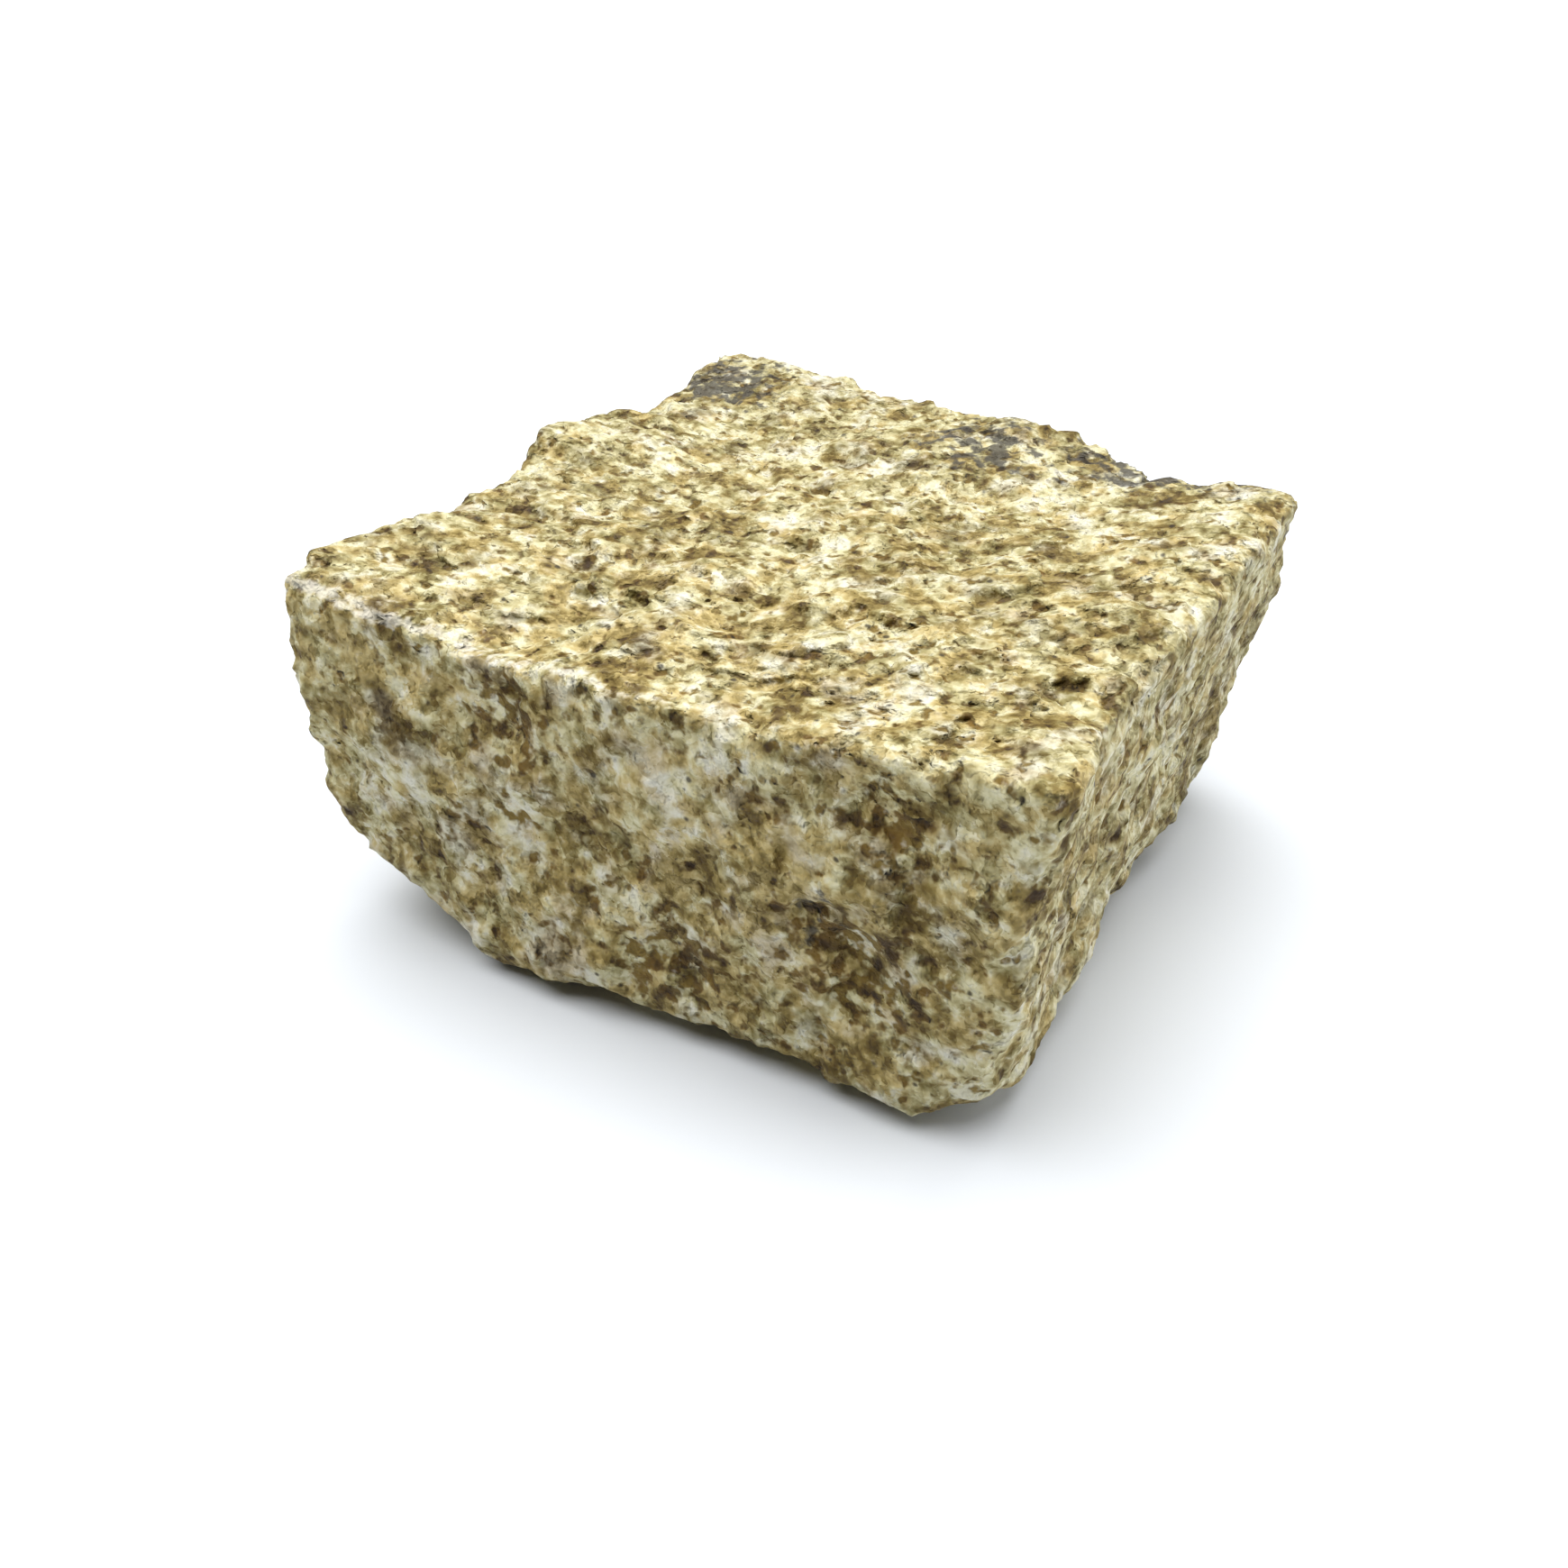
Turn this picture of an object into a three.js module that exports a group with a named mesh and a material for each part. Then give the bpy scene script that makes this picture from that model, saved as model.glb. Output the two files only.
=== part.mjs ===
// A rough paving sett of yellow granite: one stone, split to shape on every side by hammer blows.
// The stone is what is left inside a set of split faces. From a point in its heart every direction
// runs out to the nearest face, and where two faces meet, the nearer one takes over in a worn edge.
// Each face is roughened by single bumps and hollows, slow swells and tilted fracture facets, which
// raise or lower it where the direction meets it. The underside is worn level where it rests.
// Millimetres, +Z up, the broad front face towards -Y. The origin lies on the resting plane, under
// the middle of the stone.

import * as THREE from "three";
import { mergeVertices } from "three/addons/utils/BufferGeometryUtils.js";

// Size of the block between its opposite faces, and the height of its heart above the resting plane
const WIDTH = 102;
const DEPTH = 102;
const HEIGHT = 53;
const HEART_HEIGHT = 28;

// Spacing of the surface points
const GRID_SPACING = 3.2;

// Two faces melt into each other over EDGE_WEAR where they meet. Faces that a direction passes
// nearly along, or reaches more than MEETING_BAND beyond the nearest one, play no part there.
const EDGE_WEAR = 1.4;
const MEETING_BAND = 14;
const GRAZING_COSINE = 0.05;

// Split faces: turn is the bearing of the face's normal, counted from the front (-Y) towards +X,
// lean is its angle above the horizon, both in degrees, and reach is its distance from the heart.
const SPLIT_FACES = [
  { name: "front", turn: 3, lean: 1.5, reach: DEPTH / 2 + 0.9 },
  { name: "right", turn: 91, lean: -4.5, reach: WIDTH / 2 + 0.3 },
  { name: "back", turn: 175, lean: 1, reach: DEPTH / 2 - 0.6 },
  { name: "left", turn: -88, lean: -1, reach: WIDTH / 2 + 0.3 },
  { name: "top", turn: 0, lean: 89.5, reach: HEIGHT - HEART_HEIGHT + 0.5 },
  { name: "seat", turn: 0, lean: -90, reach: HEART_HEIGHT + 0.4 },
];

// Smaller spalls knocked off the lower edges and corners, given in the same way. The one under the
// front edge lifts that edge clear of the ground.
const SPALLS = [
  { name: "low left corner", turn: -38, lean: -46, reach: 59 },
  { name: "low front edge", turn: 0, lean: -76, reach: 36.2 },
  { name: "low front corner", turn: 46, lean: -38, reach: 66.4 },
  { name: "low right edge", turn: 95, lean: -63, reach: 41.8 },
  { name: "low back edge", turn: 180, lean: -60, reach: 40 },
  { name: "low left edge", turn: -90, lean: -60, reach: 40 },
];

// Single bumps (height above zero) and hollows (below zero): where each is centred, how far it
// spreads, and the one face that it belongs to, if it doesn't shape all the faces near it
const BUMPS = [
  { name: "left corner", at: [-51, -50, 43], spread: 18, height: 1.8 },
  { name: "left rim", at: [-51, -34, 53], spread: 16, height: 1.6 },
  { name: "left step", at: [-51, 6, 53], spread: 15, height: 3.4 },
  { name: "back left peak", at: [-44, 52, 53], spread: 13, height: 1.8 },
  { name: "back rim bump", at: [4, 52, 53], spread: 15, height: 1.8 },
  { name: "back rim saddle", at: [36, 52, 53], spread: 12, height: -2.4 },
  { name: "right shoulder", at: [53, 38, 40], spread: 18, height: 1.6, face: "right" },
  { name: "low left knob", at: [-50, -50, 17], spread: 10, height: 1.2 },
  { name: "low front belly", at: [-12, -52, 5], spread: 11, height: 1.2 },
  { name: "low front chip", at: [26, -52, 4], spread: 11, height: -1.2 },
  { name: "front rim hollow", at: [-20, -52, 53], spread: 22, height: -3.2, face: "top" },
  { name: "front corner hollow", at: [18, -52, 53], spread: 22, height: -3.4, face: "top" },
  { name: "top dish", at: [2, 6, 53], spread: 36, height: -1.4, face: "top" },
  { name: "front belly", at: [-4, -52, 25], spread: 20, height: 1.2, face: "front" },
  { name: "seat pad", at: [0, 0, 0], spread: 22, height: 1.8, face: "seat" },
];

// Relief of the broken surface: slow swells, then large and small fracture facets. A facet is a
// plane with a slope of up to FACET_TILT and a step of up to FACET_STEP, both in facet heights, and
// facets meet in ridges that are the crisper, the higher FACET_CRISPNESS is.
const SWELL = { size: 27, height: 1.1, seed: 11 };
const FACETS = [
  { size: 12, height: 1.3, seed: 29 },
  { size: 6.5, height: 0.6, seed: 47 },
];
const FACET_TILT = 1;
const FACET_STEP = 0.35;
const FACET_CRISPNESS = 14;

// A repeatable number from 0 to 1 for each cell of a lattice
function cellNumber(x, y, z, seed) {
  const wave = Math.sin(x * 127.1 + y * 311.7 + z * 74.7 + seed * 53.3) * 43758.5453;
  return wave - Math.floor(wave);
}

// The same number spread over -1 to 1
function cellSwing(x, y, z, seed) {
  return cellNumber(x, y, z, seed) * 2 - 1;
}

function smoothStep(t) {
  return t * t * t * (t * (t * 6 - 15) + 10);
}

// Smooth noise from -1 to 1: the lattice's numbers, blended between its eight nearest corners
function swellAt(point, { size, seed }) {
  const scaled = point.clone().divideScalar(size);
  const cell = scaled.clone().floor();
  const blend = scaled.clone().sub(cell).toArray().map(smoothStep);
  let sum = 0;
  for (const i of [0, 1])
    for (const j of [0, 1])
      for (const k of [0, 1]) {
        const weightX = i ? blend[0] : 1 - blend[0];
        const weightY = j ? blend[1] : 1 - blend[1];
        const weightZ = k ? blend[2] : 1 - blend[2];
        sum += weightX * weightY * weightZ * cellSwing(cell.x + i, cell.y + j, cell.z + k, seed);
      }
  return sum;
}

// Fracture facets: every cell of a lattice has a seed point with a tilted plane through it, and a
// point takes the mean of the nearby planes, weighed by how close their seeds are
function facetAt(point, { size, seed }) {
  const scaled = point.clone().divideScalar(size);
  const cell = scaled.clone().floor();
  let sum = 0;
  let total = 0;
  for (const i of [-1, 0, 1])
    for (const j of [-1, 0, 1])
      for (const k of [-1, 0, 1]) {
        const corner = [cell.x + i, cell.y + j, cell.z + k];
        const place = corner.map((c, axis) => c + cellNumber(...corner, seed + axis));
        const slope = corner.map((c, axis) => cellSwing(...corner, seed + 3 + axis));
        const away = scaled.clone().sub(new THREE.Vector3(...place));
        const weight = Math.exp(-FACET_CRISPNESS * away.lengthSq());
        const rise = FACET_TILT * away.dot(new THREE.Vector3(...slope));
        sum += weight * (rise + FACET_STEP * cellSwing(...corner, seed + 6));
        total += weight;
      }
  return sum / total;
}

// Sum of the single bumps of a face at a point, each a bell that fades with distance
function bumpsAt(point, faceName) {
  let sum = 0;
  for (const { at, spread, height, face } of BUMPS) {
    if (face && face !== faceName) continue;
    const distance = point.distanceTo(new THREE.Vector3(...at));
    sum += height * Math.exp(-((distance / spread) ** 2));
  }
  return sum;
}

// How far a face stands out, above zero, or is sunk in, below zero, at a point on it
function reliefAt(point, faceName) {
  let relief = bumpsAt(point, faceName) + SWELL.height * swellAt(point, SWELL);
  for (const facets of FACETS) relief += facets.height * facetAt(point, facets);
  return relief;
}

function faceNormal({ turn, lean }) {
  const bearing = THREE.MathUtils.degToRad(turn);
  const rise = THREE.MathUtils.degToRad(lean);
  return new THREE.Vector3(
    Math.sin(bearing) * Math.cos(rise),
    -Math.cos(bearing) * Math.cos(rise),
    Math.sin(rise),
  );
}

const heart = new THREE.Vector3(0, 0, HEART_HEIGHT);
const faces = [...SPLIT_FACES, ...SPALLS].map((face) => ({ ...face, normal: faceNormal(face) }));

// The point where a direction from the heart leaves the stone: the soft minimum of its distances to
// the roughened faces, cut off at the resting plane, z = 0
function stonePoint(direction) {
  const hits = [];
  for (const { name, normal, reach } of faces) {
    const cosine = normal.dot(direction);
    if (cosine > GRAZING_COSINE) hits.push({ name, reach, cosine, distance: reach / cosine });
  }
  const nearest = Math.min(...hits.map((hit) => hit.distance));
  const distances = [];
  for (const { name, reach, cosine, distance } of hits) {
    if (distance > nearest + MEETING_BAND) continue;
    const meeting = heart.clone().addScaledVector(direction, distance);
    distances.push((reach + reliefAt(meeting, name)) / cosine);
  }
  const first = Math.min(...distances);
  let total = 0;
  for (const distance of distances) total += Math.exp((first - distance) / EDGE_WEAR);
  let length = first - EDGE_WEAR * Math.log(total);
  if (direction.z < 0) length = Math.min(length, HEART_HEIGHT / -direction.z);
  return heart.clone().addScaledVector(direction, length);
}

// A box of grid points, each moved along its direction from the middle to the stone's surface
function stoneGeometry() {
  const steps = [WIDTH, DEPTH, HEIGHT].map((length) => Math.round(length / GRID_SPACING));
  const block = new THREE.BoxGeometry(WIDTH, DEPTH, HEIGHT, ...steps);
  block.deleteAttribute("normal");
  block.deleteAttribute("uv");
  const geometry = mergeVertices(block);
  const positions = geometry.getAttribute("position");
  const direction = new THREE.Vector3();
  for (let i = 0; i < positions.count; i++) {
    direction.fromBufferAttribute(positions, i).normalize();
    const point = stonePoint(direction);
    positions.setXYZ(i, point.x, point.y, point.z);
  }
  geometry.computeVertexNormals();
  return geometry;
}

const granite = new THREE.MeshStandardMaterial({ color: 0xbfa878, roughness: 0.85, metalness: 0 });
const stone = new THREE.Mesh(stoneGeometry(), granite);
stone.name = "stone";

const sett = new THREE.Group();
sett.add(stone);

export default sett;
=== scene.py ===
# %% [markdown]
# # A rough split block of yellow granite
# The object is one stone: a squarish paving sett that was split on every side, so all its faces are
# broken granite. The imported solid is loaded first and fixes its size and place. The lesson then makes
# a much finer skin of the same stone with numpy, and gives it a granite made of shader nodes.

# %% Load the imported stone
import itertools

import bpy
import numpy as np
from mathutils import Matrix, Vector


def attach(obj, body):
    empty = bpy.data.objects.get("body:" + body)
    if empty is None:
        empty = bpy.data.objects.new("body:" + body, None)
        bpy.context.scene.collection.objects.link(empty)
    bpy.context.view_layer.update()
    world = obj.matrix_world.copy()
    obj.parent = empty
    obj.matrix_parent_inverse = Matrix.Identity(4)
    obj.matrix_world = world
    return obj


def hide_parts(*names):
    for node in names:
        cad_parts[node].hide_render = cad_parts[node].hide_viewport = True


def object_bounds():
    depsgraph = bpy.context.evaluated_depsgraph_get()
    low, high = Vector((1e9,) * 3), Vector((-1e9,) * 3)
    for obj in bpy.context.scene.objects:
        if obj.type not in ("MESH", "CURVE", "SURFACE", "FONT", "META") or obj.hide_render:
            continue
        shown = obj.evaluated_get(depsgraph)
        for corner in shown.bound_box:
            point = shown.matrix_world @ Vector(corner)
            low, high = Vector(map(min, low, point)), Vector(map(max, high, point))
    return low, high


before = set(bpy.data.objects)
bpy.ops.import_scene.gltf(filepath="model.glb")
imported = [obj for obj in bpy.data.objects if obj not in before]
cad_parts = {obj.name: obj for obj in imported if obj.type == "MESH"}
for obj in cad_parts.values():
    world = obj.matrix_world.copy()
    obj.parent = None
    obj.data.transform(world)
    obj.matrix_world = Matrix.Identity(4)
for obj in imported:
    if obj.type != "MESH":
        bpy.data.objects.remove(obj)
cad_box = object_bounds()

MM = 0.001
cad_size = (cad_box[1] - cad_box[0]) / MM
print("packed stone, mm:", [round(side, 1) for side in cad_size])

# %% [markdown]
# ## The camera
# The stone is seen from a little above and from the right of its front, from so near that the far
# edges draw together. A camera can be placed by trial, but it is steadier to say what it aims at and
# from which bearing, height and distance, and to let the lens follow from the picture's own size.

# %% Camera
PICTURE_SIDE_PX = 1740
FOCAL_LENGTH_PX = 1500
SENSOR_MM = 36
AIM_MM = Vector((9.9, -29.0, 28.0))
CAMERA_BEARING_DEG = 31.7
CAMERA_HEIGHT_DEG = 33.3
CAMERA_DISTANCE_MM = 179
NEAREST_SEEN_MM = 10


def bearing_direction(turn, lean):
    """Unit vector of a bearing: turn runs from the front (-Y) towards +X, lean is the angle above
    the horizon, both in degrees. x = sin turn cos lean, y = -cos turn cos lean, z = sin lean."""
    turn, lean = np.radians(turn), np.radians(lean)
    across = np.cos(lean)
    return np.stack([np.sin(turn) * across, -np.cos(turn) * across, np.sin(lean)], axis=-1)


camera_data = bpy.data.cameras.new("camera")
camera_data.sensor_width = SENSOR_MM
camera_data.lens = SENSOR_MM * FOCAL_LENGTH_PX / PICTURE_SIDE_PX
camera_data.clip_start = NEAREST_SEEN_MM * MM
camera = bpy.data.objects.new("camera", camera_data)
backwards = Vector(bearing_direction(CAMERA_BEARING_DEG, CAMERA_HEIGHT_DEG))
camera.location = (AIM_MM + backwards * CAMERA_DISTANCE_MM) * MM
camera.rotation_euler = (-backwards).to_track_quat("-Z", "Y").to_euler()
bpy.context.scene.collection.objects.link(camera)
bpy.context.scene.camera = camera
print("camera at, mm:", [round(x / MM) for x in camera.location], "lens", round(camera_data.lens, 1))

# %% [markdown]
# ## Node helper and colours
# Every material below is a small graph of nodes. One function adds a node, sets what is constant on
# it and links what isn't. Colours are written as the hex values of a paint chart and turned to the
# linear values that a renderer counts in.

# %% Node helper and colours
def linear(hex_colour):
    """Linear RGBA of an sRGB hex colour: v / 12.92 up to 0.04045, else ((v + 0.055) / 1.055) ^ 2.4."""
    digits = hex_colour.lstrip("#")
    value = np.array([int(digits[i:i + 2], 16) for i in (0, 2, 4)]) / 255
    curve = np.where(value <= 0.04045, value / 12.92, ((value + 0.055) / 1.055) ** 2.4)
    return (*map(float, curve), 1.0)


def add_node(tree, kind, inputs=None, stops=None, **settings):
    """Adds a node: settings go on the node itself, inputs are values or outputs to link, by name or
    number, and stops are the (position, colour) pairs of a colour ramp. A new ramp has two stops."""
    node = tree.nodes.new(kind)
    for name, value in settings.items():
        setattr(node, name, value)
    for name, value in (inputs or {}).items():
        if isinstance(value, bpy.types.NodeSocket):
            tree.links.new(value, node.inputs[name])
        else:
            node.inputs[name].default_value = value
    for i, (position, colour) in enumerate(stops or ()):
        if i < 2:
            stop = node.color_ramp.elements[i]
            stop.position = position
        else:
            stop = node.color_ramp.elements.new(position)
        stop.color = colour
    return node


def new_material(name):
    """An empty node material, its tree and its output node."""
    material = bpy.data.materials.new(name)
    material.use_nodes = True
    material.node_tree.nodes.clear()
    output = add_node(material.node_tree, "ShaderNodeOutputMaterial")
    return material, material.node_tree, output


print("mid grey #808080 is", round(linear("#808080")[0], 3), "in linear light")

# %% [markdown]
# ## The floor
# Small goods are often shown on white card. A sweep that bends up at the back could be modelled, but
# here the card is one large flat sheet, lit so strongly that it runs out to plain white. Card is matt
# paper with hardly any gloss, and this one is a very little blue. It lies a hair below the stone, so
# that the two don't share a plane.

# %% Floor
FLOOR_SIDE_M = 8.0
FLOOR_DROP_MM = 0.05
CARD_COLOUR = "#d6dadf"
CARD_ROUGHNESS = 0.9
CARD_SPECULAR = 0.2

half = FLOOR_SIDE_M / 2
corners = np.array([(-half, -half), (half, -half), (half, half), (-half, half)])
floor_points = np.column_stack([corners, np.full(4, -FLOOR_DROP_MM * MM)])
floor_mesh = bpy.data.meshes.new("floor")
floor_mesh.from_pydata(floor_points.tolist(), [], [(0, 1, 2, 3)])
floor = bpy.data.objects.new("floor", floor_mesh)
bpy.context.scene.collection.objects.link(floor)

card, card_tree, card_output = new_material("matt_white_card")
card_shader = add_node(
    card_tree, "ShaderNodeBsdfPrincipled",
    {
        "Base Color": linear(CARD_COLOUR),
        "Roughness": CARD_ROUGHNESS,
        "Specular IOR Level": CARD_SPECULAR,
    },
)
card_tree.links.new(card_shader.outputs["BSDF"], card_output.inputs["Surface"])
floor_mesh.materials.append(card)
print("floor", FLOOR_SIDE_M, "m wide")

# %% [markdown]
# ## The light
# A big soft light hangs above the stone, to its left and a little behind it. The top face is bright,
# the front lives from what the card throws back, and a soft shadow lies in front and to the right. A
# low reflector behind the right side brightens that side. Area lamps would do, but a sun lamp with a
# wide disc lights the whole card evenly. The background is white to the camera and dim as a light.

# %% Light
FILL_STRENGTH = 0.05
# bearing and height of each light and how wide it is seen, in degrees, and its strength
LIGHTS = {
    "softbox": (256, 78, 72, 5.4),
    "side_reflector": (128, 22, 50, 1.7),
}

for name, (bearing, rise, width, strength) in LIGHTS.items():
    lamp_data = bpy.data.lights.new(name, "SUN")
    lamp_data.energy = strength
    lamp_data.angle = np.radians(width)
    lamp = bpy.data.objects.new(name, lamp_data)
    towards_lamp = Vector(bearing_direction(bearing, rise))
    lamp.rotation_euler = towards_lamp.to_track_quat("Z", "Y").to_euler()
    bpy.context.scene.collection.objects.link(lamp)

studio = bpy.data.worlds.new("studio")
studio.use_nodes = True
studio.node_tree.nodes.clear()
path = add_node(studio.node_tree, "ShaderNodeLightPath")
level = add_node(
    studio.node_tree, "ShaderNodeMapRange",
    {"Value": path.outputs["Is Camera Ray"], "To Min": FILL_STRENGTH, "To Max": 1.0},
)
backdrop = add_node(
    studio.node_tree, "ShaderNodeBackground",
    {"Color": linear("#ffffff"), "Strength": level.outputs[0]},
)
add_node(studio.node_tree, "ShaderNodeOutputWorld", {"Surface": backdrop.outputs[0]})
bpy.context.scene.world = studio
bpy.context.scene.view_settings.view_transform = "Standard"
print("lights:", ", ".join(LIGHTS))

# %% [markdown]
# ## The form of the stone
# A block that was split on all sides is what is left inside a set of faces. One could sculpt it, or
# cut a cube with planes. Here it is a formula, because a formula can be drawn as finely as one likes:
# from a point in the heart of the stone every direction runs out to the nearest face. A face is a
# plane with a bearing, a lean and a reach. The smaller spalls were knocked off the lower edges, and
# the one under the front edge lifts that edge off the ground.

# %% Faces and spalls: bearing and lean in degrees, reach from the heart in millimetres
WIDTH, DEPTH, HEIGHT, HEART_HEIGHT = 102.0, 102.0, 53.0, 28.0
HEART = np.array([0.0, 0.0, HEART_HEIGHT])
FACES = {
    "front": (3, 1.5, DEPTH / 2 + 0.9),
    "right": (91, -4.5, WIDTH / 2 + 0.3),
    "back": (175, 1, DEPTH / 2 - 0.6),
    "left": (-88, -1, WIDTH / 2 + 0.3),
    "top": (0, 89.5, HEIGHT - HEART_HEIGHT + 0.5),
    "seat": (0, -90, HEART_HEIGHT + 0.4),
    "low left corner": (-38, -46, 59),
    "low front edge": (0, -76, 36.2),
    "low front corner": (46, -38, 66.4),
    "low right edge": (95, -63, 41.8),
    "low back edge": (180, -60, 40),
    "low left edge": (-90, -60, 40),
}
FACE_NAMES = np.array(list(FACES))
FACE_NORMALS = np.array([bearing_direction(turn, lean) for turn, lean, _ in FACES.values()])
FACE_REACHES = np.array([reach for _, _, reach in FACES.values()])
print(len(FACES), "faces and spalls")

# %% [markdown]
# ## Bumps, hollows and chips
# No split is flat. A blow leaves swellings where the rock held and hollows where a flake came off,
# and these give the block its own outline. They could be pushed into a mesh by hand, but as a list of
# soft bells they stay readable and fit any grid. The front face also has small chips and flakes,
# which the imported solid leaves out.

# %% Bumps and chips, in millimetres
# where a bump is centred, its spread, its height (a hollow is below zero) and its one face, if any
BUMPS = {
    "left corner": ((-51, -50, 43), 18, 1.8, None),
    "left rim": ((-51, -34, 53), 16, 1.6, None),
    "left step": ((-51, 6, 53), 15, 3.4, None),
    "back left peak": ((-44, 52, 53), 13, 1.8, None),
    "back rim bump": ((4, 52, 53), 15, 1.8, None),
    "back rim saddle": ((36, 52, 53), 12, -2.4, None),
    "right shoulder": ((53, 38, 40), 18, 1.6, "right"),
    "low left knob": ((-50, -50, 17), 10, 1.2, None),
    "low front belly": ((-12, -52, 5), 11, 1.2, None),
    "low front chip": ((26, -52, 4), 11, -1.2, None),
    "front rim hollow": ((-20, -52, 53), 22, -3.2, "top"),
    "front corner hollow": ((18, -52, 53), 22, -3.4, "top"),
    "top dish": ((2, 6, 53), 36, -1.4, "top"),
    "front belly": ((-4, -52, 25), 20, 1.2, "front"),
    "seat pad": ((0, 0, 0), 22, 1.8, "seat"),
}
# small chips of the front face that only this finer skin has
CHIPS = {
    "crevice": ((27, -54, 28), 4, -3.0, "front"),
    "crevice end": ((33, -54, 26), 4, -2.2, "front"),
    "ledge": ((30, -54, 34), 6, 1.6, "front"),
    "notch": ((34, -54, 21), 6, -2.4, "front"),
    "rim chip": ((37, -54, 44), 5, -2.2, "front"),
    "left chip": ((-16, -54, 43), 4, -2.2, "front"),
    "left flake": ((-34, -54, 34), 7, 1.2, "front"),
    "middle flake": ((6, -54, 38), 6, 1.2, "front"),
    "foot chip": ((8, -54, 14), 6, -1.8, "front"),
}


def single_bumps(points, face_of_point, table):
    """Sum of the bumps of a face: height x exp(-(distance / spread)^2)."""
    total = np.zeros(len(points))
    for centre, spread, height, face in table.values():
        bell = height * np.exp(-((points - centre) ** 2).sum(axis=1) / spread ** 2)
        total += bell if face is None else np.where(FACE_NAMES[face_of_point] == face, bell, 0)
    return total


print(len(BUMPS), "bumps and hollows,", len(CHIPS), "chips and flakes")

# %% [markdown]
# ## The broken surface
# Granite breaks along and across its crystals. Large, the break swells slowly; smaller, it falls into
# tilted facets that meet in ridges, down to single crystals. Noise textures could only paint this.
# Worked out as arrays, the same numbers become real geometry. Every cell of a lattice draws its
# numbers from a sine of its place, so the stone comes out the same each time.

# %% Swells and facets
# a sine with long strides from cell to cell, so large that what is broken off it looks random
LATTICE_STRIDES = np.array([127.1, 311.7, 74.7])
SEED_STRIDE = 53.3
WAVE_HEIGHT = 43758.5453


def cell_number(cells, seed):
    """A repeatable number from 0 to 1 for each lattice cell: the broken-off part of a large sine."""
    wave = np.sin(cells @ LATTICE_STRIDES + seed * SEED_STRIDE) * WAVE_HEIGHT
    return wave - np.floor(wave)


def swells(points, size, seed):
    """Smooth noise from -1 to 1: the numbers of the eight corners round a point, blended by a smooth
    step, 6 t^5 - 15 t^4 + 10 t^3, along each axis."""
    cells = np.floor(points / size)
    part = points / size - cells
    part = part ** 3 * (part * (part * 6 - 15) + 10)
    total = np.zeros(len(points))
    for corner in itertools.product((0, 1), repeat=3):
        weight = np.where(corner, part, 1 - part).prod(axis=1)
        total += weight * cell_number(cells + corner, seed)
    return total * 2 - 1


def facets(points, size, seed, step, crispness):
    """Fracture facets: each cell has a seed point with a tilted plane through it, and a point takes
    the mean of the 27 nearby planes, weighed by exp(-crispness x squared distance in cells)."""
    scaled = points / size
    cells = np.floor(scaled)
    total = np.zeros(len(points))
    weights = np.zeros(len(points))
    for offset in itertools.product((-1, 0, 1), repeat=3):
        near = cells + offset
        away = scaled - near - np.stack([cell_number(near, seed + axis) for axis in range(3)], axis=1)
        slope = np.stack([cell_number(near, seed + 3 + axis) for axis in range(3)], axis=1) * 2 - 1
        weight = np.exp(-crispness * (away ** 2).sum(axis=1))
        level = step * (cell_number(near, seed + 6) * 2 - 1)
        total += weight * ((away * slope).sum(axis=1) + level)
        weights += weight
    return total / weights


some_cells = np.indices((10, 10, 10)).reshape(3, -1).T
print(len(some_cells), "lattice numbers have a mean of", cell_number(some_cells, seed=0).mean().round(2))

# %% [markdown]
# ## The relief of a face
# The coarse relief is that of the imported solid: single bumps, one slow swell and two sizes of facet.
# The fine relief is new: the chips, and facets of 4 and 2 mm, which are about the size of the
# crystals. It is kept apart, because the dirt will need to know where the small pits are.

# %% Coarse and fine relief
SWELL_SIZE, SWELL_HEIGHT, SWELL_SEED = 27, 1.1, 11
# size and height of the facets in mm, their seed, the step between them and how crisp they meet
COARSE_FACETS = [(12, 1.3, 29, 0.35, 14), (6.5, 0.6, 47, 0.35, 14)]
FINE_FACETS = [(4.0, 0.34, 61, 0.5, 20), (2.0, 0.34, 83, 0.6, 24)]


def all_facets(points, table):
    """Sum of height x facets over the sizes of a table, in mm."""
    return sum(height * facets(points, size, *rest) for size, height, *rest in table)


def coarse_relief(points, face_of_point):
    """Height of the bumps, the swell and the large facets at each point, in mm."""
    relief = single_bumps(points, face_of_point, BUMPS)
    relief += SWELL_HEIGHT * swells(points, SWELL_SIZE, SWELL_SEED)
    return relief + all_facets(points, COARSE_FACETS)


def fine_relief(points, face_of_point):
    """Height of the chips and crystals at each point, in mm."""
    return single_bumps(points, face_of_point, CHIPS) + all_facets(points, FINE_FACETS)


diagonal = np.linspace(-0.5, 0.5, 1000)[:, None] * [WIDTH, DEPTH, HEIGHT]
print("fine facets stand", np.ptp(all_facets(diagonal, FINE_FACETS)).round(2), "mm high at most")

# %% [markdown]
# ## From directions to the skin
# Each face gets its relief where a direction meets it, and then the faces compete: the nearest wins,
# and where two are about equally near, a soft minimum wears the edge between them. Cutting with
# planes and a bevel would leave straight, even edges. The edges are worn a little rounder than those
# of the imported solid, and the underside is cut off level at the ground.

# %% The skin's formula
EDGE_WEAR = 2.0
MEETING_BAND = 14
GRAZING_COSINE = 0.05
FAR_AWAY = 1e4
SMALLEST_DROP = 1e-9


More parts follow.
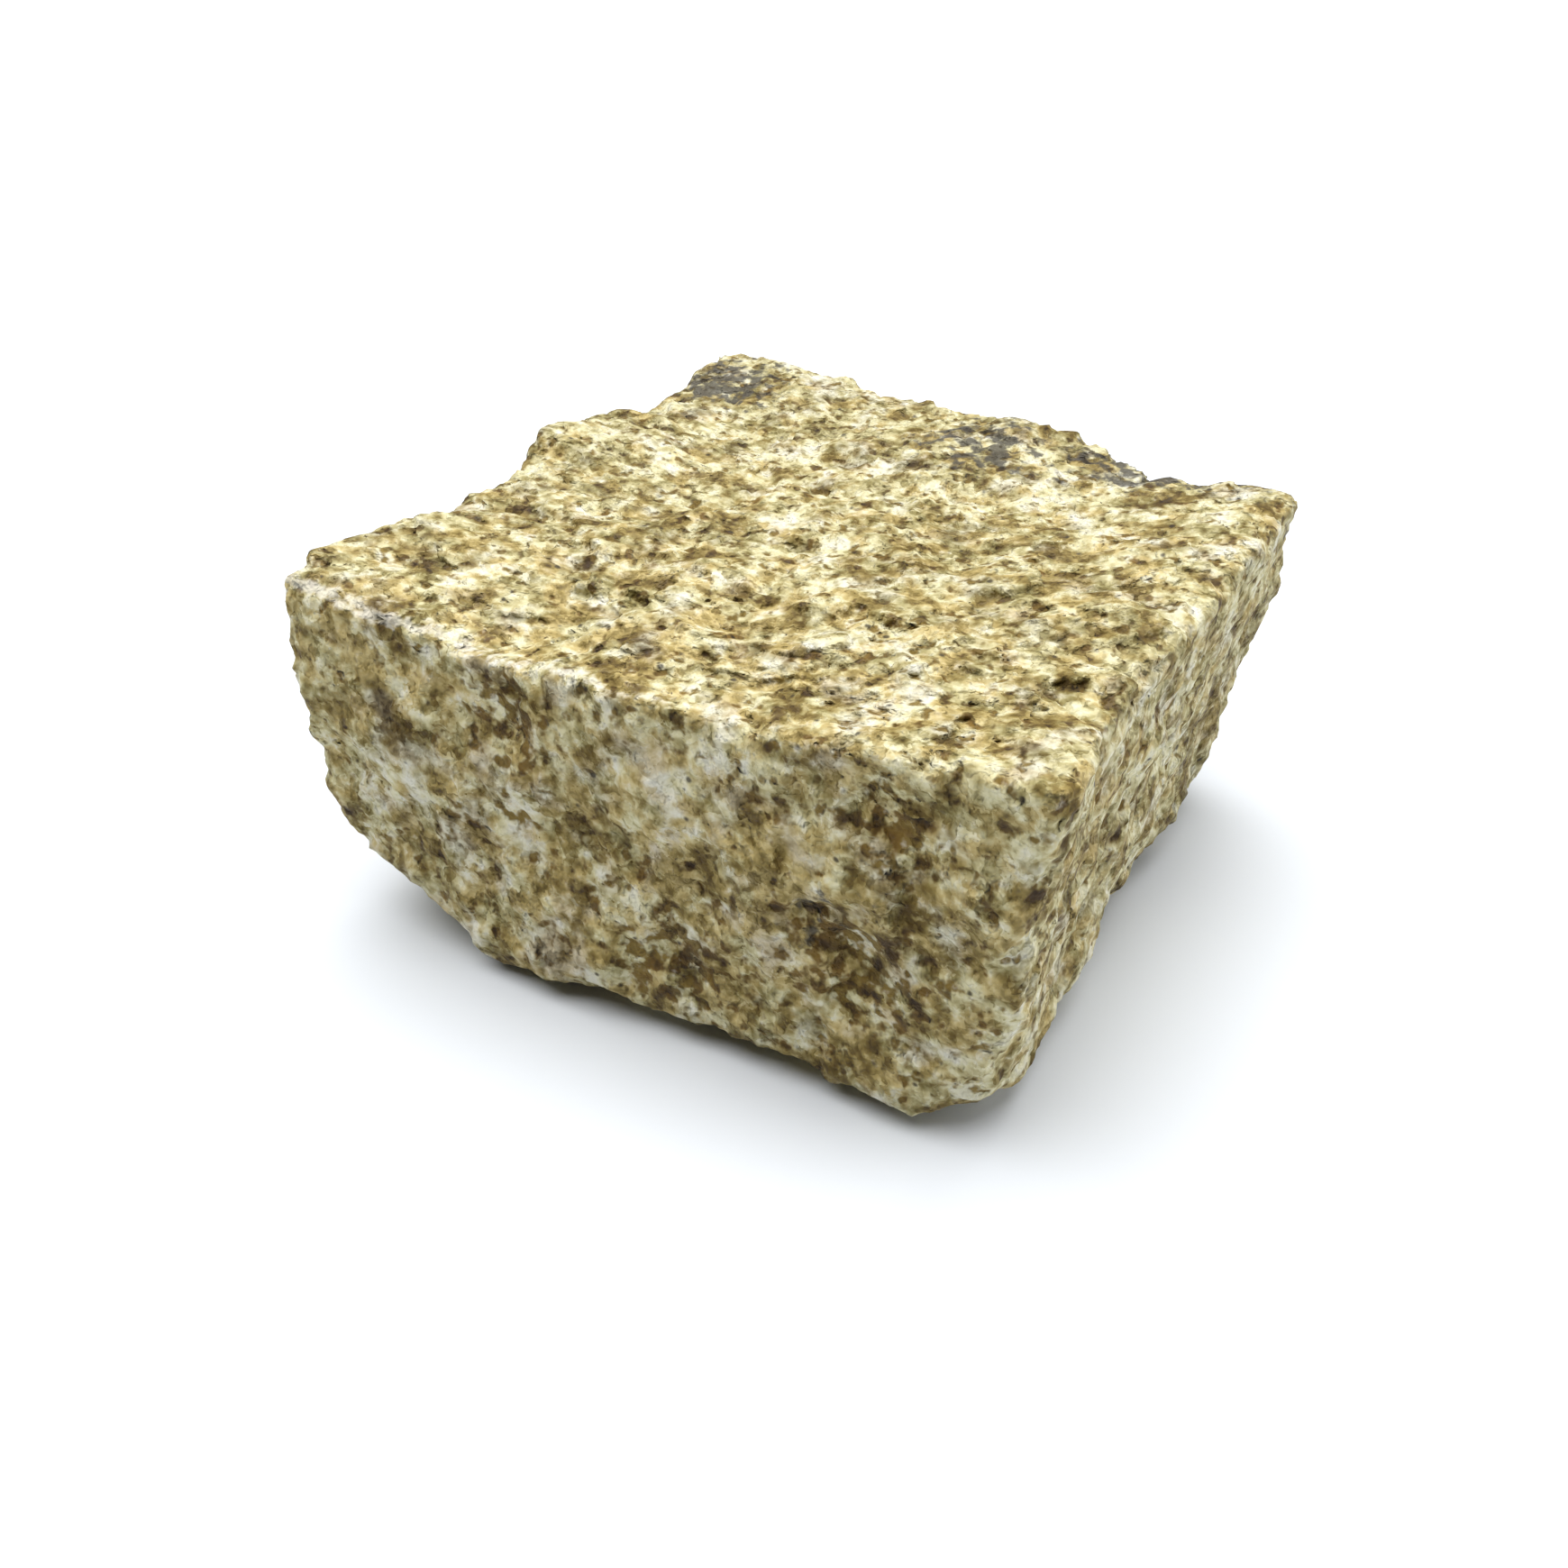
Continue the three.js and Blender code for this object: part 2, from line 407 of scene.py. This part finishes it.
def stone_skin(directions):
    """Points of the skin, the fine relief there, and each face's lead over the nearest one, in mm.
    distance = (reach + relief) / cosine for each face, then -wear x log(sum of exp(-distance / wear)),
    no longer than the way down to the ground."""
    cosines = directions @ FACE_NORMALS.T
    facing = cosines > GRAZING_COSINE
    plain = np.where(facing, FACE_REACHES / np.where(facing, cosines, 1), FAR_AWAY)
    rows, columns = np.nonzero(plain < plain.min(axis=1, keepdims=True) + MEETING_BAND)
    meeting = HEART + directions[rows] * plain[rows, columns][:, None]
    fine = fine_relief(meeting, columns)
    relief = coarse_relief(meeting, columns) + fine
    distance = np.full(plain.shape, FAR_AWAY)
    distance[rows, columns] = (FACE_REACHES[columns] + relief) / cosines[rows, columns]
    lead = distance - distance.min(axis=1, keepdims=True)
    length = distance.min(axis=1) - EDGE_WEAR * np.log(np.exp(-lead / EDGE_WEAR).sum(axis=1))
    way_down = HEART_HEIGHT / np.maximum(-directions[:, 2], SMALLEST_DROP)
    fine_of_face = np.zeros(plain.shape)
    fine_of_face[rows, columns] = fine
    fine_here = fine_of_face[np.arange(len(lead)), lead.argmin(axis=1)]
    return HEART + directions * np.minimum(length, way_down)[:, None], fine_here, lead


top_middle = stone_skin(np.array([[0.0, 0.0, 1.0]]))[0][0]
print("the top's middle is", round(top_middle[2], 1), "mm above the ground")

# %% [markdown]
# ## The grid that is pulled onto the skin
# Any closed grid of directions would do. A sphere's grid crowds its points at the poles, so this one
# is the skin of a box of about the stone's own proportions, with nearly square cells. Each side of it
# is a grid of two parameters, and the sides are welded where they share points.

# %% Box grid
GRID_STEPS = np.array([156, 156, 80])


def box_grid(steps):
    """Lattice points of a box's six sides and their quads. On each side, u and v count the steps
    along the next two axes; equal lattice points become one."""
    points, quads, count = [], [], 0
    for axis, end in itertools.product(range(3), (0, 1)):
        first, second = (axis + 1) % 3, (axis + 2) % 3
        u, v = np.meshgrid(np.arange(steps[first] + 1), np.arange(steps[second] + 1), indexing="ij")
        side = np.empty((*u.shape, 3), int)
        side[..., axis] = end * steps[axis]
        side[..., first] = u
        side[..., second] = v
        index = count + np.arange(u.size).reshape(u.shape)
        ring = [index[:-1, :-1], index[1:, :-1], index[1:, 1:], index[:-1, 1:]]
        quads.append(np.stack(ring if end else ring[::-1], axis=-1).reshape(-1, 4))
        points.append(side.reshape(-1, 3))
        count += u.size
    welded, place = np.unique(np.concatenate(points), axis=0, return_inverse=True)
    return welded, place.ravel()[np.concatenate(quads)]


lattice, quads = box_grid(GRID_STEPS)
box_points = (lattice / GRID_STEPS - 0.5) * [WIDTH, DEPTH, HEIGHT]
directions = box_points / np.linalg.norm(box_points, axis=1, keepdims=True)
skin, fine_height, face_lead = stone_skin(directions)
print(len(skin), "points,", 2 * len(quads), "triangles")

# %% [markdown]
# ## Into a mesh
# The stone is one closed skin, and its points could be handed over one by one. The arrays go into the
# mesh in one stroke each instead, which is quick. The stone's object stays at the origin, because its
# place is in its points.

# %% Mesh of the stone
def mesh_piece(name, points_mm, faces):
    """A smooth-shaded mesh object at the origin from points in mm and quads."""
    mesh = bpy.data.meshes.new(name)
    mesh.vertices.add(len(points_mm))
    mesh.vertices.foreach_set("co", (points_mm * MM).astype(np.float32).ravel())
    mesh.loops.add(faces.size)
    mesh.loops.foreach_set("vertex_index", faces.astype(np.int32).ravel())
    mesh.polygons.add(len(faces))
    mesh.polygons.foreach_set("loop_start", np.arange(0, faces.size, 4, dtype=np.int32))
    mesh.polygons.foreach_set("use_smooth", np.ones(len(faces), bool))
    mesh.update(calc_edges=True)
    mesh.validate()
    piece = bpy.data.objects.new(name, mesh)
    bpy.context.scene.collection.objects.link(piece)
    return piece


stone = mesh_piece("granite_stone", skin, quads)
print("skin from", skin.min(axis=0).round(1), "to", skin.max(axis=0).round(1), "mm")

# %% [markdown]
# ## Where the stone was struck
# Two things on a granite block follow its form and not its crystals. The rim between top and front
# took the blows and is crushed to a pale powder, most of all at its left end. And small pits are
# darkened, partly by dirt and partly as painted shade, while bare tips are clean. Both could be
# painted by hand. Here they come from the formula: the rim is where top and front are about equally
# near, and a pit is where the fine relief is low. Each becomes a number on every point of the mesh,
# which the material can read.

# %% Bruise and pits as attributes
BRUISE_WIDTH_MM = 3.0
BRUISE_FADE_MM = 26
BRUISE_MEAN, BRUISE_SWING = 0.55, 0.45
PIT_DEPTH_MM = 0.35
BAREST, DEEPEST = -1, 2


def add_attribute(piece, name, values):
    """One number for every point of the mesh."""
    attribute = piece.data.attributes.new(name, "FLOAT", "POINT")
    attribute.data.foreach_set("value", values.astype(np.float32))


top_lead = face_lead[:, list(FACES).index("top")]
front_lead = face_lead[:, list(FACES).index("front")]
rim = np.exp(-((top_lead + front_lead) / BRUISE_WIDTH_MM) ** 2)
bruise = rim * (BRUISE_MEAN + BRUISE_SWING * np.tanh(-skin[:, 0] / BRUISE_FADE_MM))
# the material darkens pits by this number, partly as dirt and partly as painted shade
pit = np.clip(-fine_height / PIT_DEPTH_MM, BAREST, DEEPEST)
add_attribute(stone, "bruise", bruise)
add_attribute(stone, "pit", pit)
print("bruised points:", int((bruise > 0.3).sum()), "pitted points:", int((pit > 0.5).sum()))

# %% [markdown]
# ## Where the stone is weathered and stained
# Dark patches lie mostly along the back rim, probably what is left of the rock's weathered outside,
# and one in the front crevice is painted shade. Some patches of the front are clean, pale rock, and
# others are richer in rust. A painted picture could say where, but a few round patches are enough,
# because the material breaks up their edges.

# %% Patches as attributes
# for each kind of patch: where each is centred and how far it spreads, in mm, and how strong it is
PATCHES = {
    "crust_and_crevice_shade": {
        "back left knob": ((-46, 42, 54), 12, 1.0),
        "back rim": ((6, 36, 51), 12, 0.9),
        "back rim end": ((30, 42, 51), 10, 0.9),
        "right corner": ((48, 46, 52), 9, 1.0),
        # painted shade: a dark patch laid in the front crevice
        "front chip": ((28, -54, 28), 7, 0.6),
    },
    "clean": {
        "front left": ((-23, -53, 31), 9, 0.6),
        "front middle": ((4, -53, 42), 8, 0.6),
        "front corner": ((40, -50, 34), 12, 0.3),
    },
    "rust": {
        # this patch makes the whole front face warmer and a little darker
        "front": ((0, -54, 25), 50, 0.7),
        "front rim": ((-36, -52, 42), 10, 0.6),
        "front right": ((26, -54, 30), 14, 0.5),
        "top right": ((40, 10, 53), 14, 0.4),
    },
}


def round_patches(points, table):
    """Sum of round patches: strength x exp(-(distance / spread)^2), at most 1."""
    total = np.zeros(len(points))
    for centre, spread, strength in table.values():
        total += strength * np.exp(-((points - centre) ** 2).sum(axis=1) / spread ** 2)
    return np.minimum(total, 1)


for kind, table in PATCHES.items():
    add_attribute(stone, kind, round_patches(skin, table))
    print(len(table), "patches of", kind)

# %% [markdown]
# ## Granite: the crystals
# Yellow granite is a mix of crystals of 1 to 3 mm: cream feldspar, partly stained golden by iron, and
# greyer quartz. A photograph could be wrapped round the stone, but it would show seams and smear. Here
# the crystals are the cells of two Voronoi patterns in the solid rock, a small and a large one, in
# true millimetres. Noise bends their edges, because real crystals grew into each other.

# %% Crystals
# size of each kind of crystal, in mm
CRYSTALS_MM = {"small": 1.5, "large": 3.2}
WANDER_MM = 1.4
WANDER_DETAIL = 2.0
# how far the full swing of the noise would carry an edge; it mostly stays within a quarter of that
BEND_MM = 3.2
# mean of a noise colour or of a cell's random colour
MIDDLE = (0.5, 0.5, 0.5)

granite, rock, rock_output = new_material("split_yellow_granite")
place = add_node(rock, "ShaderNodeTexCoord").outputs["Object"]
mm = add_node(rock, "ShaderNodeVectorMath", {0: place, "Scale": 1 / MM}, operation="SCALE").outputs[0]
wander = add_node(
    rock, "ShaderNodeTexNoise", {"Vector": mm, "Scale": 1 / WANDER_MM, "Detail": WANDER_DETAIL}
)
swing = add_node(
    rock, "ShaderNodeVectorMath", {0: wander.outputs["Color"], 1: MIDDLE}, operation="SUBTRACT"
)
bend = add_node(
    rock, "ShaderNodeVectorMath", {0: swing.outputs[0], "Scale": BEND_MM}, operation="SCALE"
)
bent = add_node(rock, "ShaderNodeVectorMath", {0: mm, 1: bend.outputs[0]}, operation="ADD").outputs[0]

cells = {}
shades = {}
for name, size_mm in CRYSTALS_MM.items():
    cells[name] = add_node(rock, "ShaderNodeTexVoronoi", {"Vector": bent, "Scale": 1 / size_mm})
    shades[name] = add_node(rock, "ShaderNodeSeparateColor", {0: cells[name].outputs["Color"]})
print("crystals of", " and ".join(f"{size} mm" for size in CRYSTALS_MM.values()))

# %% [markdown]
# ## Granite: the minerals
# Which mineral a crystal is, from dark and stained to light and clean, is one number, its tone. Each
# crystal draws a part of it at random. Grit of a crystal's size and finer, clouds of a few crystals
# and zones of a centimetre add the rest, because minerals gather. A ramp then turns the tone to a
# colour, and all the shades can be tuned in one place.

# %% Tone and mineral colours
# share of each crystal's random number in the tone
CRYSTAL_SHARES = {"small": 0.17, "large": 0.20}
# size in mm, detail and share of the noises
MIXING = {"grit": (1.6, 2.0, 0.9), "clouds": (4.5, 2.0, 1.0), "zones": (11, 1.0, 0.6)}
MINERALS = [
    (0.06, "#4f4012"),
    (0.22, "#6f6232"),
    (0.36, "#8f8556"),
    (0.50, "#b0a679"),
    (0.66, "#ccc59c"),
    (0.86, "#dad5b9"),
]

weighed = [(shades[name].outputs["Red"], share) for name, share in CRYSTAL_SHARES.items()]
for size_mm, detail, share in MIXING.values():
    mixing = add_node(rock, "ShaderNodeTexNoise", {"Vector": mm, "Scale": 1 / size_mm, "Detail": detail})
    weighed.append((mixing.outputs[0], share))
# the mean of every source is a half, and so is the mean of the tone
tone = 0.5 - sum(share for _, share in weighed) / 2
for source, share in weighed:
    added = add_node(rock, "ShaderNodeMath", {0: source, 1: share, 2: tone}, operation="MULTIPLY_ADD")
    tone = added.outputs[0]
minerals = add_node(
    rock, "ShaderNodeValToRGB", {0: tone},
    stops=[(position, linear(shade)) for position, shade in MINERALS],
)
print(len(weighed), "sources of tone,", len(MINERALS), "mineral shades")

# %% [markdown]
# ## Granite: ragged patches
# Stain, clean rock, crust, dirt, painted shade and bruise all lie in patches that fray out from
# crystal to crystal.
# A soft round mask would look sprayed on. So each mask is a noise of the patch's own grain, pushed
# up or down where the mesh says that the patch is, and then cut between two levels.

# %% Ragged patches
def ragged_patch(kind, grain_mm, detail, patch_share, cut, levels, tone_share=0.0):
    """Strength of a kind of patch: noise of the given grain + patch_share x the mesh's own number for
    it + tone_share x tone, taken through a smooth step between the two cuts onto the two levels."""
    fray = add_node(rock, "ShaderNodeTexNoise", {"Vector": mm, "Scale": 1 / grain_mm, "Detail": detail})
    value = fray.outputs[0]
    here = add_node(rock, "ShaderNodeAttribute", attribute_name=kind).outputs["Fac"]
    for source, share in ((here, patch_share), (tone, tone_share)):
        pushed = add_node(rock, "ShaderNodeMath", {0: source, 1: share, 2: value}, operation="MULTIPLY_ADD")
        value = pushed.outputs[0]
    between = {"From Min": cut[0], "From Max": cut[1], "To Min": levels[0], "To Max": levels[1]}
    patch = add_node(
        rock, "ShaderNodeMapRange", {"Value": value, **between}, interpolation_type="SMOOTHSTEP"
    )
    return patch.outputs[0]


print("the stone's own numbers:", [item.name for item in stone.data.attributes if item.data_type == "FLOAT"])

# %% [markdown]
# ## Granite: rust and clean rock
# Iron that seeped through the rock coloured its duller crystals golden, and left the brightest ones
# pale. One ramp can't give both, so the rust is a thin golden glaze, multiplied over the minerals and
# held back on light tones, and the clean rock is the same colour with some of its yellow taken out.

# %% Rust and clean rock
RUST_GLAZE = "#ebd4a2"
CLEAN_SATURATION = 0.66
# sockets of a colour Mix node: its factor, the colour below, the colour above, and its result
FACTOR, BELOW, ABOVE, MIXED = 0, 6, 7, 2

rust = ragged_patch(
    "rust", grain_mm=3.8, detail=3.0, patch_share=0.14, tone_share=-0.35, cut=(0.27, 0.5), levels=(0.0, 0.7)
)
golden = add_node(
    rock, "ShaderNodeMix", {FACTOR: rust, BELOW: minerals.outputs[0], ABOVE: linear(RUST_GLAZE)},
    data_type="RGBA", blend_type="MULTIPLY",
)
saturation = ragged_patch(
    "clean", grain_mm=6.5, detail=3.0, patch_share=0.14, tone_share=0.25,
    cut=(0.62, 0.85), levels=(1.0, CLEAN_SATURATION),
)
cleaned = add_node(
    rock, "ShaderNodeHueSaturation", {"Saturation": saturation, "Color": golden.outputs[MIXED]}
)
print("rust glaze", RUST_GLAZE, "and clean rock at saturation", CLEAN_SATURATION)

# %% [markdown]
# ## Granite: dark crust and painted crevice shade
# The dark patches are mostly a thin grey crust on the rock; the one in the front crevice is painted
# shade. It covers crystals of any colour, so glazing them as the rust does would leave them too
# bright. It is laid over them as a flat colour, nearly opaque, in crumbs of about 2 mm.

# %% Dark crust and painted crevice shade
# the colour of the crust and of the painted shade in the front crevice
CRUST_AND_CREVICE_SHADE_COLOUR = "#444039"

crust_and_crevice_shade = ragged_patch(
    "crust_and_crevice_shade", grain_mm=2.2, detail=3.0, patch_share=0.36, cut=(0.66, 0.84), levels=(0.0, 0.9)
)
with_crust_and_crevice_shade = add_node(
    rock, "ShaderNodeMix", {FACTOR: crust_and_crevice_shade, BELOW: cleaned.outputs[0], ABOVE: linear(CRUST_AND_CREVICE_SHADE_COLOUR)},
    data_type="RGBA",
)
print("crust_and_crevice_shade", CRUST_AND_CREVICE_SHADE_COLOUR)

# %% [markdown]
# ## Granite: mica
# Black mica lies in the rock as single flakes of up to a millimetre. They could be cells of the
# crystal patterns, but those fill the rock without gaps. A wider Voronoi pattern of its own gives each
# flake room: it is the dark middle of a cell, and about half the cells have next to none.

# %% Mica flakes
MICA_SPACING_MM = 2.8
MICA_COLOUR = "#2b2218"
# cells whose random number is below this have a faint speck at most
EMPTY_CELLS = 0.55
# largest radius of a flake and how far its edge fades, outwards (below zero) and inwards, in spacings
LARGEST_FLAKE = 0.17
FLAKE_EDGE = (-0.04, 0.06)
MICA_STRENGTH = 0.85

mica = add_node(rock, "ShaderNodeTexVoronoi", {"Vector": mm, "Scale": 1 / MICA_SPACING_MM})
mica_shades = add_node(rock, "ShaderNodeSeparateColor", {0: mica.outputs["Color"]})
radius = add_node(
    rock, "ShaderNodeMapRange",
    {"Value": mica_shades.outputs["Red"], "From Min": EMPTY_CELLS, "To Max": LARGEST_FLAKE},
)
inside = add_node(
    rock, "ShaderNodeMath", {0: radius.outputs[0], 1: mica.outputs["Distance"]}, operation="SUBTRACT"
)
flake = add_node(
    rock, "ShaderNodeMapRange",
    {
        "Value": inside.outputs[0],
        "From Min": FLAKE_EDGE[0],
        "From Max": FLAKE_EDGE[1],
        "To Max": MICA_STRENGTH,
    },
)
with_mica = add_node(
    rock, "ShaderNodeMix",
    {FACTOR: flake.outputs[0], BELOW: with_crust_and_crevice_shade.outputs[MIXED], ABOVE: linear(MICA_COLOUR)},
    data_type="RGBA",
)
print("mica flakes up to", round(2 * LARGEST_FLAKE * MICA_SPACING_MM, 1), "mm across")

# %% [markdown]
# ## Granite: dirt, painted pit shade and bruise
# Fine brown dirt and painted shade darken the pits and pores, and let the crystals show through, so
# they are multiplied over them. The bruise on the struck rim is crushed rock, a pale powder that hides
# them, so it is laid on top.

# %% Dirt, painted pit shade and bruise
PIT_DIRT_AND_SHADE_GLAZE = "#98834c"
BRUISE_COLOUR = "#dcd8cc"

# pits and pores darkened, partly as dirt and partly as painted shade
pit_dirt_and_shade = ragged_patch(
    "pit", grain_mm=2.0, detail=2.0, patch_share=-0.07, cut=(0.45, 0.30), levels=(0.0, 1.0)
)
with_pit_dirt_and_shade = add_node(
    rock, "ShaderNodeMix", {FACTOR: pit_dirt_and_shade, BELOW: with_mica.outputs[MIXED], ABOVE: linear(PIT_DIRT_AND_SHADE_GLAZE)},
    data_type="RGBA", blend_type="MULTIPLY",
)
crushed = ragged_patch(
    "bruise", grain_mm=1.6, detail=3.0, patch_share=0.42, cut=(0.62, 0.9), levels=(0.0, 0.6)
)
bruised = add_node(
    rock, "ShaderNodeMix", {FACTOR: crushed, BELOW: with_pit_dirt_and_shade.outputs[MIXED], ABOVE: linear(BRUISE_COLOUR)},
    data_type="RGBA",
)
print("pit_dirt_and_shade", PIT_DIRT_AND_SHADE_GLAZE, "and bruise", BRUISE_COLOUR)

# %% [markdown]
# ## Granite: the broken crystals in relief
# Each crystal broke along its own plane. The mesh has the larger facets, and modelling every crystal
# would take millions of triangles, so the last fine relief is bump: within a cell the height
# rises along a random slope, for the large crystals and then for the small ones. Dark minerals and
# the pores darkened by dirt and painted shade lie a little deeper than light ones.

# %% Relief of the crystals
CRYSTAL_RELIEF_MM = 1.0
CRYSTAL_BUMP = 0.55
PORE_RELIEF_MM = 0.6
PORE_BUMP = 0.6
PIT_MASK_DEPTH = 0.6

normal = add_node(rock, "ShaderNodeNewGeometry").outputs["Normal"]
for name in ("large", "small"):
    away = add_node(
        rock, "ShaderNodeVectorMath", {0: bent, 1: cells[name].outputs["Position"]}, operation="SUBTRACT"
    )
    slope = add_node(
        rock, "ShaderNodeVectorMath", {0: cells[name].outputs["Color"], 1: MIDDLE}, operation="SUBTRACT"
    )
    rise = add_node(
        rock, "ShaderNodeVectorMath", {0: away.outputs[0], 1: slope.outputs[0]}, operation="DOT_PRODUCT"
    )
    tilted = add_node(
        rock, "ShaderNodeBump",
        {
            "Strength": CRYSTAL_BUMP,
            "Distance": CRYSTAL_RELIEF_MM * MM,
            "Height": rise.outputs["Value"],
            "Normal": normal,
        },
    )
    normal = tilted.outputs[0]
height = add_node(rock, "ShaderNodeMath", {0: pit_dirt_and_shade, 1: -PIT_MASK_DEPTH, 2: tone}, operation="MULTIPLY_ADD")
relief = add_node(
    rock, "ShaderNodeBump",
    {
        "Strength": PORE_BUMP,
        "Distance": PORE_RELIEF_MM * MM,
        "Height": height.outputs[0],
        "Normal": normal,
    },
)
print("bump for crystals of", CRYSTAL_RELIEF_MM, "mm and pores of", PORE_RELIEF_MM, "mm relief")

# %% [markdown]
# ## Granite: the finished shader
# Split granite isn't polished, so it is matt, but some crystals cleave smoothly and are a little
# glossier than others. The index of refraction is that of quartz and feldspar. The specular level is
# lower than usual, because a broken surface hides part of its own gloss in its cracks.

# %% Granite shader
GRANITE_IOR = 1.54
GRANITE_SPECULAR = 0.3
SMOOTHEST, ROUGHEST = 0.55, 0.85

roughness = add_node(
    rock, "ShaderNodeMapRange",
    {"Value": shades["large"].outputs["Blue"], "To Min": SMOOTHEST, "To Max": ROUGHEST},
)
granite_shader = add_node(
    rock, "ShaderNodeBsdfPrincipled",
    {
        "Base Color": bruised.outputs[MIXED],
        "Roughness": roughness.outputs[0],
        "IOR": GRANITE_IOR,
        "Specular IOR Level": GRANITE_SPECULAR,
        "Normal": relief.outputs[0],
    },
)
rock.links.new(granite_shader.outputs["BSDF"], rock_output.inputs["Surface"])
stone.data.materials.append(granite)
print("granite has", len(rock.nodes), "nodes")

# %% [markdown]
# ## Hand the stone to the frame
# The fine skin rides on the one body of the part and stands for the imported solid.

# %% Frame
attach(stone, "root")
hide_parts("stone")
